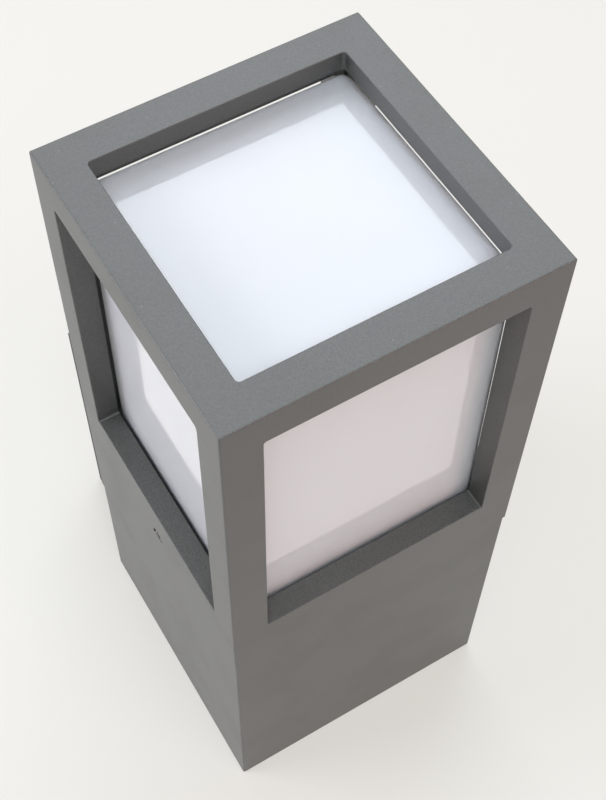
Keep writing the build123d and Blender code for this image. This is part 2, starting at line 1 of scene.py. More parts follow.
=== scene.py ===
"""Looks of a square outdoor wall light: a powder-coated lantern head over a box of opal plastic.

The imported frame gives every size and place. This script adds the finishes, remakes the pieces that
show more detail than the frame holds, and adds a plain studio and the camera. Pieces are shaped in
millimetres and scaled to the frame's metres when they are finished.
"""

import json
import logging
import math
from collections.abc import Callable, Sequence
from dataclasses import dataclass
from enum import Enum
from functools import partial

import bmesh
import bpy
from mathutils import Euler, Matrix, Vector


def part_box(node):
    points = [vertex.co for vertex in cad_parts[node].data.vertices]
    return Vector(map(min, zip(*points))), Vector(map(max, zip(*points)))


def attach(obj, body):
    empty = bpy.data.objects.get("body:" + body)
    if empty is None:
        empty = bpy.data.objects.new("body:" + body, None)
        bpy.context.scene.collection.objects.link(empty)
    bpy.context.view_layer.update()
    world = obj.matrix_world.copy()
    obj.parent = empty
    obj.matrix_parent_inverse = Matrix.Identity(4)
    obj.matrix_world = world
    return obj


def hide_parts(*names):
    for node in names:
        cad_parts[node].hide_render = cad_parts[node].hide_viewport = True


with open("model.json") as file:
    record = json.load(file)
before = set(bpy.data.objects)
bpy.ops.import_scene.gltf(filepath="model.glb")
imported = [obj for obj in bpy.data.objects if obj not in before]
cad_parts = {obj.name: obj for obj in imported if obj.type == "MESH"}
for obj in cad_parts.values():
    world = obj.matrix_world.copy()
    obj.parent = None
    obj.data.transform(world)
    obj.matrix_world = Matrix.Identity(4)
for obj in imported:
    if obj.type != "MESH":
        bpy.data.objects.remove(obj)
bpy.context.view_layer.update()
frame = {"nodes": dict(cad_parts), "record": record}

log = logging.getLogger("wall_light")

MM = 0.001
FULL_TURN = 2 * math.pi
QUARTER_TURN = math.pi / 2
MERGE_MM = 0.001
SEAM_MM = 0.002

Colour = tuple[float, float, float]
Point = tuple[float, float, float]
Profile = Sequence[tuple[float, float]]
Loop = list[bmesh.types.BMEdge]
Socket = bpy.types.NodeSocket
Drawing = Callable[["Graph", bpy.types.NodeOutputs], tuple[Socket, ...]]


def node_box(node: str) -> tuple[Vector, Vector]:
    """Returns the lowest and highest corner of a node of the frame, in millimetres."""
    low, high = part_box(node)
    return low / MM, high / MM


def solids_of(node: str) -> list[tuple[Vector, Vector]]:
    """Finds the separate solids of a node of the frame.

    Args:
        node: the node's name.

    Returns:
        The lowest and highest corner of each solid, in millimetres, from low X and Y up.
    """
    mesh = bmesh.new()
    mesh.from_mesh(frame["nodes"][node].data)
    bmesh.ops.remove_doubles(mesh, verts=mesh.verts, dist=MERGE_MM * MM)
    left = set(mesh.verts)
    boxes = []
    while left:
        group, front = set(), [left.pop()]
        while front:
            vert = front.pop()
            group.add(vert)
            front += [other for edge in vert.link_edges for other in edge.verts if other in left]
            left -= set(front)
        places = [v.co / MM for v in group]
        low = Vector(map(min, zip(*places)))
        boxes.append((low, Vector(map(max, zip(*places)))))
    mesh.free()
    return sorted(boxes, key=lambda box: tuple(box[0]))


# Finishes


class Pattern(Enum):
    """Fine surface patterns that the finishes choose from."""

    POWDER = "powder_coat_grain"
    ROLLED = "rolled_lines"
    ZINC = "zinc_bloom"
    MOULDED = "moulded_skin"
    GLAZED = "glaze_waves"
    FOAM = "foam_cells"


@dataclass(frozen=True)
class Layer:
    """One texture of a pattern: noise, or rounded cells where it has no detail."""

    scale: float
    detail: float | None = None
    along: float = 1.0
    contrast: tuple[float, float] | None = None


# The shares and layers that add up to each pattern's shade, and then those of its height
LAYERS = {
    # A mottled grain over orange-peel waves
    Pattern.POWDER: (((0.2, Layer(0.8, 1.0)), (0.8, Layer(1.3, 2.0, contrast=(0.3, 0.7)))),
                     ((0.4, Layer(0.8, 1.0)), (0.6, Layer(1.3, 2.0)))),
    # Long thin lines, with clouds behind them
    Pattern.ROLLED: (((0.6, Layer(1.0, 4.0, along=0.03)), (0.4, Layer(0.03, 2.0))),
                     ((1.0, Layer(1.0, 4.0, along=0.03)),)),
    # Cloudy bloom with faint crystals, over lines from rolling
    Pattern.ZINC: (((0.6, Layer(0.12, 5.0)), (0.4, Layer(0.3))),
                   ((1.0, Layer(1.4, 3.0, along=0.04)),)),
    # Soft clouds with a fine even grain
    Pattern.MOULDED: (((0.7, Layer(0.05, 2.0)), (0.3, Layer(2.0, 2.0))),
                      ((1.0, Layer(2.0, 2.0)),)),
    # Slow shallow waves
    Pattern.GLAZED: (((1.0, Layer(0.3, 1.0)),),
                     ((1.0, Layer(0.3, 1.0)),)),
    # Rounded cells of two sizes
    Pattern.FOAM: (((0.7, Layer(1.0)), (0.3, Layer(2.7))),
                   ((0.7, Layer(1.0)), (0.3, Layer(2.7)))),
}


class Graph:
    """A node tree with short ways to add and join nodes."""

    def __init__(self, tree: bpy.types.NodeTree, clear: bool = True) -> None:
        """Starts on a tree.

        Args:
            tree: the node tree that the nodes go into.
            clear: whether the nodes that it holds are removed first.
        """
        self.tree = tree
        if clear:
            self.tree.nodes.clear()

    def add(self, kind: str, inputs: dict | None = None, **settings) -> bpy.types.Node:
        """Adds one node.

        Args:
            kind: the node's type, without a leading ShaderNode.
            inputs: values or output sockets for the node's inputs, by name or number.
            **settings: the node's own properties.

        Returns:
            The new node.
        """
        name = kind if kind.startswith("Node") else "ShaderNode" + kind
        node = self.tree.nodes.new(name)
        for key, value in settings.items():
            setattr(node, key, value)
        for key, value in (inputs or {}).items():
            if isinstance(value, Socket):
                self.tree.links.new(value, node.inputs[key])
            else:
                node.inputs[key].default_value = value
        return node

    def math(self, operation: str, *values) -> Socket:
        """Adds a Math node with numbers or sockets as its inputs, in order."""
        return self.add("Math", dict(enumerate(values)), operation=operation).outputs[0]

    def noise(self, vector: Socket, scale: float, detail: float) -> Socket:
        """Adds a noise texture."""
        return self.add("TexNoise", {"Vector": vector, "Scale": scale, "Detail": detail}).outputs[0]

    def spread(self, value: Socket, reach: tuple[float, float]) -> Socket:
        """Spreads the values between two numbers over 0 to 1."""
        return self.add("MapRange", {"Value": value, "From Min": reach[0], "From Max": reach[1]}).outputs[0]

    def layer(self, vector: Socket, layer: Layer) -> Socket:
        """Adds one layer of a pattern.

        Args:
            vector: the coordinates, with cells one unit wide.
            layer: the layer.

        Returns:
            The layer's value, about 0 to 1.
        """
        if layer.along != 1.0:
            vector = self.add("Mapping", {"Vector": vector, "Scale": (layer.along, 1.0, 1.0)}).outputs[0]
        if layer.detail is None:
            return self.add("TexVoronoi", {"Vector": vector, "Scale": layer.scale}).outputs["Distance"]
        value = self.noise(vector, layer.scale, layer.detail)
        return self.spread(value, layer.contrast) if layer.contrast else value

    def mix(self, share: Socket, first: Socket | Colour, second: Colour) -> Socket:
        """Mixes two colours.

        Args:
            share: the share of the second colour.
            first: a colour or a socket that carries one.
            second: the other colour.

        Returns:
            The mixed colour.
        """
        first_input, second_input, colour_output = 6, 7, 2
        start = first if isinstance(first, Socket) else (*first, 1)
        inputs = {0: share, first_input: start, second_input: (*second, 1)}
        return self.add("Mix", inputs, data_type="RGBA").outputs[colour_output]


class GroupShelf:
    """Shader node groups that materials share, each built once."""

    dust_cells_per_m = 650.0
    dust_spot = 0.16
    dust_rarity = 0.97
    dust_on_walls = 0.3
    mark_clouds_per_m = 45.0
    mark_reach = (0.45, 0.7)

    def __init__(self) -> None:
        """Starts with no group built."""
        self._built: dict[str, bpy.types.NodeTree] = {}

    def _shared(self, name: str, inputs: dict[str, str], outputs: tuple[str, ...],
                draw: Drawing) -> bpy.types.NodeTree:
        """Returns a group, and builds it on first use.

        Args:
            name: the group's name.
            inputs: the kind of each input socket.
            outputs: the names of its outputs, which are all numbers.
            draw: adds the group's nodes and returns what its outputs carry.

        Returns:
            The group.
        """
        if name not in self._built:
            tree = self._built[name] = bpy.data.node_groups.new(name, "ShaderNodeTree")
            graph = Graph(tree)
            for socket, kind in inputs.items():
                tree.interface.new_socket(socket, in_out="INPUT", socket_type="NodeSocket" + kind)
            for socket in outputs:
                tree.interface.new_socket(socket, in_out="OUTPUT", socket_type="NodeSocketFloat")
            carried = draw(graph, graph.add("NodeGroupInput").outputs)
            graph.add("NodeGroupOutput", dict(zip(outputs, carried)))
        return self._built[name]

    def pattern(self, pattern: Pattern) -> bpy.types.NodeTree:
        """Returns the group of a pattern, whose outputs Shade and Height are about 0 to 1."""
        inputs = {"Vector": "Vector", "Size": "Float"}
        return self._shared(pattern.value, inputs, ("Shade", "Height"), partial(self._layered, pattern))

    def dust(self) -> bpy.types.NodeTree:
        """Returns the group of small pale specks that settle on faces that look up."""
        inputs = {"Vector": "Vector", "Up": "Float", "Amount": "Float"}
        return self._shared("settled_dust", inputs, ("Specks",), self._specks)

    def handling(self) -> bpy.types.NodeTree:
        """Returns the group of soft marks that hands leave on a gloss."""
        inputs = {"Vector": "Vector", "Roughness": "Float", "Amount": "Float"}
        return self._shared("handling_marks", inputs, ("Roughness",), self._marks)

    @staticmethod
    def _layered(pattern: Pattern, graph: Graph, inputs: bpy.types.NodeOutputs) -> tuple[Socket, ...]:
        """Draws a surface pattern.

        Args:
            pattern: the pattern.
            graph: the group's graph.
            inputs: the group's inputs.

        Returns:
            The shade and the height.
        """
        cells = graph.math("DIVIDE", 1.0, inputs["Size"])
        place = graph.add("VectorMath", {0: inputs["Vector"], "Scale": cells}, operation="SCALE").outputs[0]
        totals = []
        for layers in LAYERS[pattern]:
            total = 0.0
            for share, layer in layers:
                total = graph.math("MULTIPLY_ADD", graph.layer(place, layer), share, total)
            totals.append(total)
        return tuple(totals)

    def _specks(self, graph: Graph, inputs: bpy.types.NodeOutputs) -> tuple[Socket]:
        """Draws dust.

        Args:
            graph: the group's graph.
            inputs: the group's inputs.

        Returns:
            How much dust lies at a place: a small spot in a few cells, and less of it on walls.
        """
        cells = graph.add("TexVoronoi", {"Vector": inputs["Vector"], "Scale": self.dust_cells_per_m})
        spot = graph.math("LESS_THAN", cells.outputs["Distance"], self.dust_spot)
        chosen = graph.add("SeparateColor", {"Color": cells.outputs["Color"]}).outputs[0]
        rare = graph.math("GREATER_THAN", chosen, self.dust_rarity)
        lying = graph.math("MULTIPLY_ADD", inputs["Up"], 1.0 - self.dust_on_walls, self.dust_on_walls)
        specks = graph.math("MULTIPLY", graph.math("MULTIPLY", spot, rare), graph.math("MAXIMUM", lying, 0.0))
        return (graph.math("MULTIPLY", specks, inputs["Amount"]),)

    def _marks(self, graph: Graph, inputs: bpy.types.NodeOutputs) -> tuple[Socket]:
        """Draws handling marks.

        Args:
            graph: the group's graph.
            inputs: the group's inputs.

        Returns:
            The roughness, raised in soft patches.
        """
        clouds = graph.noise(inputs["Vector"], scale=self.mark_clouds_per_m, detail=3.0)
        added = graph.math("MULTIPLY", graph.spread(clouds, self.mark_reach), inputs["Amount"])
        return (graph.math("ADD", added, inputs["Roughness"]),)


SHELF = GroupShelf()


@dataclass(frozen=True)
class Finish:
    """One finish: two close colours, a fine pattern, and how glossy, marked and dusty it is."""

    name: str
    colour: Colour
    second: Colour
    pattern: Pattern
    size_mm: float
    depth_mm: float
    roughness: tuple[float, float]
    metallic: float = 0.0
    ior: float = 1.5
    coat: float = 0.0
    coat_roughness: float = 0.05
    subsurface: float = 0.0
    subsurface_mm: float = 2.0
    marks: float = 0.0
    dust: float = 0.0
    dust_colour: Colour = (0.4, 0.39, 0.37)

    def material(self) -> bpy.types.Material:
        """Returns the finish's material, and builds it on first use."""
        name = "finish_" + self.name
        return bpy.data.materials.get(name) or self._build(bpy.data.materials.new(name))

    def _build(self, made: bpy.types.Material) -> bpy.types.Material:
        """Fills a new material with the finish's nodes.

        Args:
            made: the new material.

        Returns:
            The same material.
        """
        made.use_nodes = True
        graph = Graph(made.node_tree)
        place = graph.add("TexCoord").outputs["Object"]
        cells = {"Vector": place, "Size": self.size_mm * MM}
        pattern = graph.add("Group", cells, node_tree=SHELF.pattern(self.pattern)).outputs
        least, most = self.roughness
        rough = graph.add("MapRange", {"Value": pattern["Shade"], "To Min": least, "To Max": most}).outputs[0]
        if self.marks:
            marks = {"Vector": place, "Roughness": rough, "Amount": self.marks}
            rough = graph.add("Group", marks, node_tree=SHELF.handling()).outputs["Roughness"]
        colour = graph.mix(pattern["Shade"], self.colour, self.second)
        if self.dust:
            up = graph.add("SeparateXYZ", {0: graph.add("NewGeometry").outputs["Normal"]}).outputs["Z"]
            dust = {"Vector": place, "Up": up, "Amount": self.dust}
            specks = graph.add("Group", dust, node_tree=SHELF.dust()).outputs["Specks"]
            colour = graph.mix(specks, colour, self.dust_colour)
        bump = graph.add("Bump", {"Height": pattern["Height"], "Distance": self.depth_mm * MM})
        shader = graph.add("BsdfPrincipled", {
            "Base Color": colour, "Roughness": rough, "Normal": bump.outputs[0],
            "Metallic": self.metallic, "IOR": self.ior,
            "Coat Weight": self.coat, "Coat Roughness": self.coat_roughness,
            "Subsurface Weight": self.subsurface, "Subsurface Radius": (1.0, 1.0, 1.0),
            "Subsurface Scale": self.subsurface_mm * MM,
        })
        graph.add("OutputMaterial", {"Surface": shader.outputs[0]})
        return made


class Finishes:
    """Every finish of the light, named as the record's material slots are."""

    ANTHRACITE = Finish("anthracite_paint", (0.045, 0.045, 0.043), (0.104, 0.103, 0.098), Pattern.POWDER,
                        0.5, 0.05, (0.33, 0.43), ior=1.6, marks=0.04, dust=0.25)
    OPAL = Finish("opal_plastic", (0.765, 0.76, 0.808), (0.775, 0.77, 0.818), Pattern.GLAZED,
                  4.0, 0.002, (0.05, 0.07), ior=1.58, subsurface=1.0, subsurface_mm=6.0, marks=0.03)
    SILICONE = Finish("seal_rubber", (0.02, 0.02, 0.022), (0.035, 0.035, 0.037), Pattern.MOULDED,
                      0.4, 0.02, (0.55, 0.7), dust=0.3)
    FOAM = Finish("gasket_foam", (0.015, 0.015, 0.016), (0.05, 0.05, 0.052), Pattern.FOAM,
                  0.5, 0.25, (0.8, 0.95))
    ZINC = Finish("zinc_steel", (0.55, 0.57, 0.6), (0.72, 0.74, 0.76), Pattern.ZINC,
                  0.5, 0.006, (0.28, 0.42), metallic=1.0, marks=0.08)
    STAINLESS = Finish("screw_steel", (0.52, 0.51, 0.49), (0.66, 0.65, 0.63), Pattern.ROLLED,
                       0.12, 0.004, (0.22, 0.34), metallic=1.0)
    DARK_STEEL = Finish("set_screw_steel", (0.2, 0.19, 0.18), (0.32, 0.31, 0.29), Pattern.ROLLED,
                        0.12, 0.004, (0.25, 0.38), metallic=1.0)
    PORCELAIN = Finish("porcelain", (0.8, 0.79, 0.75), (0.86, 0.85, 0.81), Pattern.GLAZED,
                       3.0, 0.03, (0.1, 0.18), ior=1.55, coat=0.5, marks=0.05)
    BRASS = Finish("holder_brass", (0.62, 0.47, 0.22), (0.74, 0.59, 0.32), Pattern.ROLLED,
                   0.15, 0.004, (0.22, 0.36), metallic=1.0)
    CAP_METAL = Finish("lamp_cap_metal", (0.68, 0.69, 0.7), (0.8, 0.81, 0.82), Pattern.ROLLED,
                       0.15, 0.003, (0.18, 0.3), metallic=1.0)
    BLACK_GLASS = Finish("lamp_insulator", (0.008, 0.008, 0.01), (0.014, 0.014, 0.016), Pattern.GLAZED,
                         1.5, 0.02, (0.08, 0.12))
    LAMP_PLASTIC = Finish("lamp_plastic", (0.78, 0.78, 0.76), (0.83, 0.83, 0.81), Pattern.MOULDED,
                          0.35, 0.01, (0.3, 0.4), marks=0.05)
    LAMP_OPAL = Finish("lamp_opal", (0.8, 0.8, 0.78), (0.86, 0.86, 0.84), Pattern.GLAZED,
                       3.0, 0.006, (0.3, 0.38), subsurface=0.3)
    NYLON = Finish("block_nylon", (0.7, 0.68, 0.62), (0.78, 0.76, 0.7), Pattern.MOULDED,
                   0.3, 0.01, (0.4, 0.5))
    BROWN = Finish("lead_brown", (0.07, 0.03, 0.015), (0.1, 0.045, 0.022), Pattern.MOULDED,
                   0.3, 0.008, (0.35, 0.45))
    BLUE = Finish("lead_blue", (0.02, 0.07, 0.25), (0.03, 0.1, 0.32), Pattern.MOULDED,
                  0.3, 0.008, (0.35, 0.45))
    GREEN = Finish("lead_green_yellow", (0.1, 0.28, 0.03), (0.14, 0.36, 0.04), Pattern.MOULDED,
                   0.3, 0.008, (0.35, 0.45))
    FLOOR = Finish("studio_floor", (0.80, 0.78, 0.74), (0.81, 0.79, 0.75), Pattern.MOULDED,
                   6.0, 0.0, (0.65, 0.7))

    @classmethod
    def by_slot(cls, slot: str) -> Finish:
        """Returns the finish that has the name of a material slot of the record."""
        return next(f for f in vars(cls).values() if isinstance(f, Finish) and f.name == slot)


def dress(piece: bpy.types.Object, finish: Finish) -> None:
    """Gives a piece one finish all over."""
    piece.data.materials.clear()
    piece.data.materials.append(finish.material())


def stand_in(piece: bpy.types.Object, node: str, body: str, finish: Finish) -> None:
    """Dresses a remade piece, lets it ride on its body and takes its node out of sight.

    Args:
        piece: the remade piece.
        node: the node of the frame that it stands for.
        body: the body that it moves with.
        finish: its finish.
    """
    dress(piece, finish)
    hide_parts(node)
    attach(piece, body)
    log.info("%s stands for %s in %s", piece.name, node, finish.name)


# Shaping


@dataclass(frozen=True)
class Ring:
    """One rounded rectangle of a swept shape, at a level that may drop with V."""

    half_u: float
    half_v: float
    corner: float
    level: float
    slope: float = 0.0

    @classmethod
    def square(cls, half: float, corner: float, level: float) -> "Ring":
        """Makes a rounded square."""
        return cls(half, half, corner, level)

    def grown(self, out: float, rise: float) -> "Ring":
        """Returns a ring that is larger all round and lies higher."""
        return Ring(self.half_u + out, self.half_v + out, self.corner + out, self.level + rise, self.slope)

    def place(self, side_u: float, side_v: float, aim_u: float, aim_v: float) -> Vector:
        """Finds a point on one of the ring's corners.

        Args:
            side_u: the corner's sign in U.
            side_v: the corner's sign in V.
            aim_u: how far round the corner the point lies, as a share of the radius in U.
            aim_v: the same in V.

        Returns:
            The point.
        """
        u = side_u * (self.half_u - self.corner + aim_u * self.corner)
        v = side_v * (self.half_v - self.corner + aim_v * self.corner)
        return Vector((u, v, self.level - v * self.slope))

    def points(self, segments: int) -> list[Vector]:
        """Lists the ring's points, anticlockwise.

        Args:
            segments: how many faces go round each corner.

        Returns:
            The points, from the end of the positive U side.
        """
        made = []
        for quarter, (side_u, side_v) in enumerate(((1, 1), (-1, 1), (-1, -1), (1, -1))):
            for step in range(segments + 1):
                angle = (quarter + step / segments) * QUARTER_TURN
                made.append(self.place(side_u, side_v, abs(math.cos(angle)), abs(math.sin(angle))))
        return made

    def moved(self, point: Vector, old: "Ring") -> Vector:
        """Finds where a point of another ring lands on this one.

        Args:
            point: the point.
            old: the ring that it lies on.

        Returns:
            The point of this ring on the same corner, the same share of the way round it.
        """
        aim_u = (abs(point.x) - old.half_u + old.corner) / old.corner
        aim_v = (abs(point.y) - old.half_v + old.corner) / old.corner
        return self.place(math.copysign(1, point.x), math.copysign(1, point.y), aim_u, aim_v)


def rounded(centre: Ring, radius: float, start_deg: float, end_deg: float, steps: int = 4) -> list[Ring]:
    """Lists the rings of a rounded edge about its middle ring, where 0 degrees is outwards and 90 is up."""
    angles = [math.radians(start_deg + (end_deg - start_deg) * step / steps) for step in range(steps + 1)]
    return [centre.grown(radius * math.cos(a), radius * math.sin(a)) for a in angles]


@dataclass(frozen=True)
class Thread:
    """A round thread between two heights of a turned piece."""

    low: float
    high: float
    pitch: float
    depth: float

    def levels(self, rows: int = 8) -> list[float]:
        """Lists the heights that the profile needs, from the bottom up, with some rows to each turn."""
        count = max(2, round((self.high - self.low) / self.pitch * rows))
        return [self.low + (self.high - self.low) * step / count for step in range(count + 1)]

    def sink(self, place: Vector) -> float:
        """Works out how deep the thread is at a place.

        Args:
            place: the place, on the unthreaded piece.

        Returns:
            The depth, which tapers out over one turn at both ends.
        """
        inside = min(place.z - self.low, self.high - place.z) / self.pitch
        if inside <= 0:
            return 0.0
        turn = place.z / self.pitch - math.atan2(place.y, place.x) / FULL_TURN
        return self.depth * min(1.0, inside) * (0.5 + 0.5 * math.cos(turn * FULL_TURN))


class Solid:
    """A bmesh in millimetres with the shaping steps that the light's pieces share."""

    def __init__(self) -> None:
        """Starts empty."""
        self.mesh = bmesh.new()

    def sweep(self, rings: list[Ring], place: Matrix = Matrix(), segments: int = 6) -> tuple[Loop, Loop]:
        """Adds a skin through rounded rectangles, each extruded from the one before.

        Args:
            rings: the rectangles, in order.
            place: turns and moves the finished skin.
            segments: how many faces go round each corner.

        Returns:
            The skin's first and last edge loops.
        """
        points = rings[0].points(segments)
        verts = bmesh.ops.create_circle(self.mesh, segments=len(points), radius=1.0)["verts"]
        for vert, point in zip(verts, points):
            vert.co = point
        first = loop = list({edge for vert in verts for edge in vert.link_edges})
        skin = list(verts)
        for old, new in zip(rings, rings[1:]):
            grown = bmesh.ops.extrude_edge_only(self.mesh, edges=loop)["geom"]
            verts = [g for g in grown if isinstance(g, bmesh.types.BMVert)]
            loop = [g for g in grown if isinstance(g, bmesh.types.BMEdge) and set(g.verts) <= set(verts)]
            for vert in verts:
                vert.co = new.moved(vert.co, old)
            skin += verts
        bmesh.ops.transform(self.mesh, matrix=place, verts=skin)
        return first, loop

    def block(self, rings: list[Ring], place: Matrix = Matrix(), segments: int = 6) -> None:
        """Adds a sweep with both its ends closed."""
        for loop in self.sweep(rings, place, segments):
            bmesh.ops.edgeloop_fill(self.mesh, edges=loop)

    def pierce(self, normal: Vector, reach: float, loop: Loop) -> None:
        """Opens the large flat face that looks along a normal, and joins it to a loop in its plane.

        Args:
            normal: where the face looks.
            reach: how far the face's middle is from the Z axis.
            loop: the edges of the opening.
        """
        least_facing, most_away = 0.99, 0.3

        def fits(face: bmesh.types.BMFace) -> bool:
            """Says whether a face looks along the normal and lies at the reach."""
            away = abs(face.calc_center_median().dot(normal) - reach)
            return abs(face.normal.dot(normal)) > least_facing and away < most_away

        self.mesh.normal_update()
        face = max((f for f in self.mesh.faces if fits(f)), key=lambda f: f.calc_area())
        rim = list(face.edges)
        bmesh.ops.delete(self.mesh, geom=[face], context="FACES_ONLY")
        bmesh.ops.triangle_fill(self.mesh, edges=rim + loop, use_beauty=True, use_dissolve=False)

    def turned(self, profile: Profile, thread: Thread | None = None, steps: int = 64) -> None:
        """Adds a piece turned about the Z axis.

        Args:
            profile: its radii and heights, from one end of the outline to the other.
            thread: a thread cut into it.
            steps: how many faces go round it.
        """
        verts = [self.mesh.verts.new((radius, 0.0, height)) for radius, height in profile]
        edges = [self.mesh.edges.new(pair) for pair in zip(verts, verts[1:])]
        before = set(self.mesh.verts) - set(verts)
        bmesh.ops.spin(self.mesh, geom=verts + edges, cent=(0, 0, 0), axis=(0, 0, 1), dvec=(0, 0, 0),
                       angle=FULL_TURN, steps=steps, use_merge=True, use_duplicate=False)
        if thread:
            near_axis = 2 * thread.depth
            for vert in set(self.mesh.verts) - before:
                radius = vert.co.xy.length
                if radius > near_axis:
                    vert.co.xy *= (radius - thread.sink(vert.co)) / radius

    def soften(self, radius: float, steps: int, least_deg: float = 50.0) -> None:
        """Rounds every edge that is sharper than an angle, with some faces round each."""
        bmesh.ops.remove_doubles(self.mesh, verts=self.mesh.verts, dist=MERGE_MM)
        self.round_edges([edge for edge in self.mesh.edges if is_sharp(edge, least_deg)], radius, steps)

    def round_edges(self, edges: Loop, radius: float, steps: int) -> None:
        """Rounds some edges, with some faces round each."""
        bmesh.ops.bevel(self.mesh, geom=edges, offset=radius, offset_type="OFFSET", segments=steps,
                        profile=0.5, affect="EDGES", material=-1, clamp_overlap=True)

    def finish(self, name: str, cutters: Sequence["Solid"] = (), sharp_deg: float = 35.0) -> bpy.types.Object:
        """Closes the seams, cuts, scales to metres, and marks which edges stay sharp.

        Args:
            name: the object's name.
            cutters: solids that are cut out of this one.
            sharp_deg: the face angle past which an edge stays sharp.

        Returns:
            The object, at the origin.
        """
        piece = self._object(name)
        for cutter in cutters:
            piece = subtract(piece, cutter._object("cutter"))
        self.mesh = bmesh.new()
        self.mesh.from_mesh(piece.data)
        for face in self.mesh.faces:
            face.smooth = True
        for edge in self.mesh.edges:
            edge.smooth = not is_sharp(edge, sharp_deg)
        self.mesh.to_mesh(piece.data)
        self.mesh.free()
        normals = piece.modifiers.new("even_normals", "WEIGHTED_NORMAL")
        normals.keep_sharp = True
        return piece

    def _object(self, name: str) -> bpy.types.Object:
        """Closes the seams, scales to metres, and links the mesh as an object.

        Args:
            name: the object's name.

        Returns:
            The object.
        """
        bmesh.ops.remove_doubles(self.mesh, verts=self.mesh.verts, dist=SEAM_MM)
        bmesh.ops.recalc_face_normals(self.mesh, faces=self.mesh.faces)
        bmesh.ops.scale(self.mesh, vec=(MM, MM, MM), verts=self.mesh.verts)
        data = bpy.data.meshes.new(name)
        self.mesh.to_mesh(data)
        self.mesh.free()
        made = bpy.data.objects.new(name, data)
        bpy.context.scene.collection.objects.link(made)
        return made


def is_sharp(edge: bmesh.types.BMEdge, least_deg: float) -> bool:
    """Says whether the two faces of an edge meet at more than an angle."""
    return len(edge.link_faces) == 2 and edge.calc_face_angle() > math.radians(least_deg)


def subtract(piece: bpy.types.Object, cutter: bpy.types.Object) -> bpy.types.Object:
    """Cuts one object out of another for good.

    Args:
        piece: what is cut.
        cutter: what is taken out, which is removed.

    Returns:
        The piece.
    """
    cut = piece.modifiers.new("cut", "BOOLEAN")
    cut.object, cut.operation, cut.solver = cutter, "DIFFERENCE", "EXACT"
    shape = bpy.data.meshes.new_from_object(piece.evaluated_get(bpy.context.evaluated_depsgraph_get()))
    piece.modifiers.clear()
    piece.data = shape
    bpy.data.objects.remove(cutter)
    return piece


def facing(normal: Vector, middle: Vector) -> Matrix:
    """Places a sweep so that its levels run along a level normal, U lies level and V runs up.

    Args:
        normal: the direction of the levels.
        middle: where the sweep's own origin lands.

    Returns:
        The matrix.
    """
    across = Vector((0, 0, 1)).cross(normal)
    turn = Matrix((across, Vector((0, 0, 1)), normal)).transposed().to_4x4()
    return Matrix.Translation(middle) @ turn


RIGHT, BACK, LEFT, FRONT = (Vector(normal) for normal in ((1, 0, 0), (0, 1, 0), (-1, 0, 0), (0, -1, 0)))


# Lantern head


